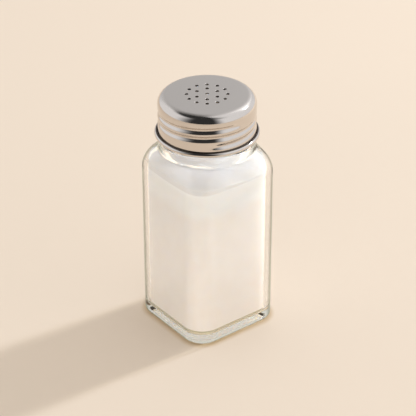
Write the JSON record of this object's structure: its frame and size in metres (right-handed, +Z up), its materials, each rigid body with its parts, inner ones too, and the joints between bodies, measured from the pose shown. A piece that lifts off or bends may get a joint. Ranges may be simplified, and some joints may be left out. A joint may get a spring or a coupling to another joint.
{
  "type": "spice shaker",
  "caption": "Square clear glass shaker with rounded corners and a square-to-round shoulder, full of fine white salt, under a perforated steel screw cap.",
  "frame": {"origin": "middle of the foot, on the surface the jar stands on", "axes": "+Z up through the middle of the cap; the four flat glass faces look along X and Y"},
  "size_m": [0.038, 0.038, 0.0912],
  "materials": {
    "glass": "clear, smooth",
    "salt": "fine white grains",
    "steel": "satin on the top, polished on the side",
    "steel_edge": "polished"
  },
  "bodies": {
    "jar": {"glass_jar": "glass", "salt_fill": "salt"},
    "cap_lift": {"cap_rolled_edge": "steel_edge"},
    "cap": {"cap_shell": "steel"}
  },
  "joints": [
    {"name": "cap_rise", "type": "slide", "parent": "jar", "child": "cap_lift", "axis": [0, 0, 1], "range_m": [0, 0.0193]},
    {"name": "cap_turn", "type": "hinge", "parent": "cap_lift", "child": "cap", "pos_m": [0, 0, 0], "axis": [0, 0, 1], "range_deg": [0, 2160]}
  ],
  "couplings": [
    {"joint": "cap_rise", "follows": "cap_turn", "m_per_rad": 0.0005093}
  ]
}
